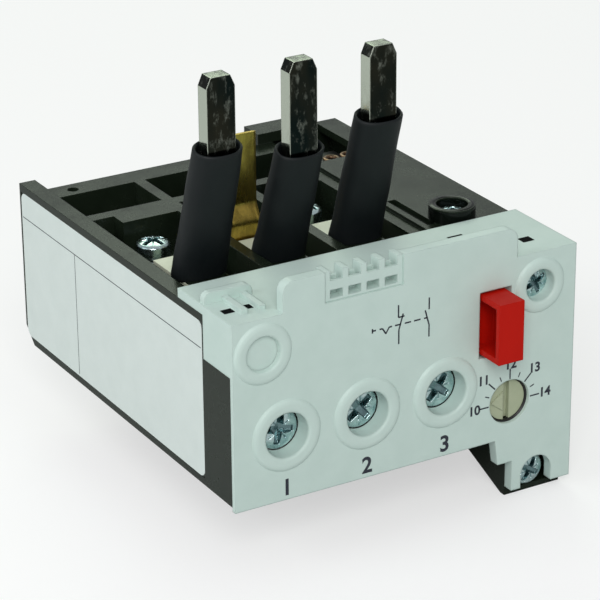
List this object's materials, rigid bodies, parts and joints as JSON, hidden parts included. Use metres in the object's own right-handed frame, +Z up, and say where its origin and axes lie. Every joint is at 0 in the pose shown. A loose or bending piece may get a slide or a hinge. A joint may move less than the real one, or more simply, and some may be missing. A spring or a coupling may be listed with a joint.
{
  "type": "thermal overload relay",
  "caption": "Thermal overload relay: black housing with heater cells, grey front cover with screw wells, red reset button and setting dial, sleeved line pins.",
  "frame": {"origin": "under the middle of the bounding box, level with the lowest edge of the auxiliary terminal block", "axes": "+X along the row of terminals to the right, +Y from the front cover to the rear, +Z up along the line pins"},
  "size_m": [0.065, 0.0822, 0.0777],
  "materials": {
    "cover_grey": "satin moulded",
    "housing_black": "satin moulded",
    "label_foil": "printed foil",
    "zinc_steel": "bright zinc plated",
    "cage_steel": "zinc plated",
    "tinned_brass": "tinned",
    "bimetal_strip": "rolled",
    "heater_alloy": "oxidised",
    "glass_sleeving": "woven",
    "cream_steatite": "moulded",
    "nickel_plate": "bright nickel",
    "sleeve_black": "heat shrunk",
    "brass_strip": "rolled",
    "mechanism_white": "moulded",
    "mechanism_black": "moulded",
    "spring_steel": "drawn wire",
    "copper": "copper",
    "button_red": "moulded",
    "dial_beige": "moulded"
  },
  "bodies": {
    "housing": {"base_housing": "housing_black", "front_cover": "cover_grey", "marker_comb": "cover_grey", "side_plate": "housing_black", "rating_label": "label_foil", "aux_terminal_block": "housing_black", "load_busbar_1": "tinned_brass", "load_busbar_2": "tinned_brass", "load_busbar_3": "tinned_brass", "bimetal_1": "bimetal_strip", "bimetal_2": "bimetal_strip", "bimetal_3": "bimetal_strip", "heater_insulator_1": "glass_sleeving", "heater_insulator_2": "glass_sleeving", "heater_insulator_3": "glass_sleeving", "heater_winding_1": "heater_alloy", "heater_winding_2": "heater_alloy", "heater_winding_3": "heater_alloy", "heater_carrier_1": "cream_steatite", "heater_carrier_2": "cream_steatite", "heater_carrier_3": "cream_steatite", "line_pin_1": "nickel_plate", "line_pin_2": "nickel_plate", "line_pin_3": "nickel_plate", "pin_sleeve_1": "sleeve_black", "pin_sleeve_2": "sleeve_black", "pin_sleeve_3": "sleeve_black", "brass_link": "brass_strip", "calibration_screws": "zinc_steel", "mechanism_frame": "mechanism_black", "compensating_bimetal": "bimetal_strip", "upper_contact_strip": "tinned_brass", "lower_contact_strip": "tinned_brass", "reset_spring": "spring_steel", "contact_eyelets": "copper", "boss_screw": "zinc_steel"},
    "terminal_screw_1": {"terminal_screw_1": "zinc_steel"},
    "terminal_cage_1": {"terminal_cage_1": "cage_steel"},
    "terminal_screw_2": {"terminal_screw_2": "zinc_steel"},
    "terminal_cage_2": {"terminal_cage_2": "cage_steel"},
    "terminal_screw_3": {"terminal_screw_3": "zinc_steel"},
    "terminal_cage_3": {"terminal_cage_3": "cage_steel"},
    "reset_button": {"reset_button": "button_red"},
    "current_dial": {"current_dial": "dial_beige"},
    "trip_slider": {"trip_slider": "mechanism_white"},
    "trip_lever": {"trip_lever": "mechanism_white", "moving_contact": "brass_strip"},
    "aux_washer_upper": {"aux_washer_upper": "zinc_steel"},
    "aux_screw_upper": {"aux_screw_upper": "zinc_steel"},
    "aux_washer_lower": {"aux_washer_lower": "zinc_steel"},
    "aux_screw_lower": {"aux_screw_lower": "zinc_steel"}
  },
  "joints": [
    {"name": "screw_turn_1", "type": "hinge", "parent": "housing", "child": "terminal_screw_1", "pos_m": [-0.023, -0.02785, 0.0236], "axis": [0, 1, 0], "range_deg": [0, 1800]},
    {"name": "cage_rise_1", "type": "slide", "parent": "housing", "child": "terminal_cage_1", "axis": [0, -1, 0], "range_m": [0, 0.0035]},
    {"name": "screw_turn_2", "type": "hinge", "parent": "housing", "child": "terminal_screw_2", "pos_m": [-0.008, -0.02785, 0.0236], "axis": [0, 1, 0], "range_deg": [0, 1800]},
    {"name": "cage_rise_2", "type": "slide", "parent": "housing", "child": "terminal_cage_2", "axis": [0, -1, 0], "range_m": [0, 0.0035]},
    {"name": "screw_turn_3", "type": "hinge", "parent": "housing", "child": "terminal_screw_3", "pos_m": [0.007, -0.02785, 0.0236], "axis": [0, 1, 0], "range_deg": [0, 1800]},
    {"name": "cage_rise_3", "type": "slide", "parent": "housing", "child": "terminal_cage_3", "axis": [0, -1, 0], "range_m": [0, 0.0035]},
    {"name": "reset_press", "type": "slide", "parent": "housing", "child": "reset_button", "axis": [0, 1, 0], "range_m": [0, 0.003], "stiffness_N_per_m": 600, "springref_m": -0.003, "deforming": ["reset_spring"]},
    {"name": "dial_turn", "type": "hinge", "parent": "housing", "child": "current_dial", "pos_m": [0.0198, -0.03385, 0.0188], "axis": [0, 1, 0], "range_deg": [0, 180]},
    {"name": "trip_slide", "type": "slide", "parent": "housing", "child": "trip_slider", "axis": [1, 0, 0], "range_m": [0, 0.0025], "stiffness_N_per_m": 150},
    {"name": "lever_swing", "type": "hinge", "parent": "housing", "child": "trip_lever", "pos_m": [0.0265, 0.01415, 0.0256], "axis": [0, 0, 1], "range_deg": [-11.95, 0]},
    {"name": "aux_washer_in_upper", "type": "slide", "parent": "housing", "child": "aux_washer_upper", "axis": [0, 1, 0], "range_m": [0, 0.0015]},
    {"name": "aux_screw_turn_upper", "type": "hinge", "parent": "aux_washer_upper", "child": "aux_screw_upper", "pos_m": [0.0253, -0.03085, 0.03865], "axis": [0, 1, 0], "range_deg": [0, 1080]},
    {"name": "aux_washer_in_lower", "type": "slide", "parent": "housing", "child": "aux_washer_lower", "axis": [0, 1, 0], "range_m": [0, 0.0015]},
    {"name": "aux_screw_turn_lower", "type": "hinge", "parent": "aux_washer_lower", "child": "aux_screw_lower", "pos_m": [0.0253, -0.03085, 0.0041], "axis": [0, 1, 0], "range_deg": [0, 1080]}
  ],
  "couplings": [
    {"joint": "screw_turn_1", "follows": "cage_rise_1", "rad_per_m": 8975.9},
    {"joint": "screw_turn_2", "follows": "cage_rise_2", "rad_per_m": 8975.9},
    {"joint": "screw_turn_3", "follows": "cage_rise_3", "rad_per_m": 8975.9},
    {"joint": "lever_swing", "follows": "trip_slide", "rad_per_m": -83.3},
    {"joint": "aux_screw_turn_upper", "follows": "aux_washer_in_upper", "rad_per_m": 12566},
    {"joint": "aux_screw_turn_lower", "follows": "aux_washer_in_lower", "rad_per_m": 12566}
  ]
}
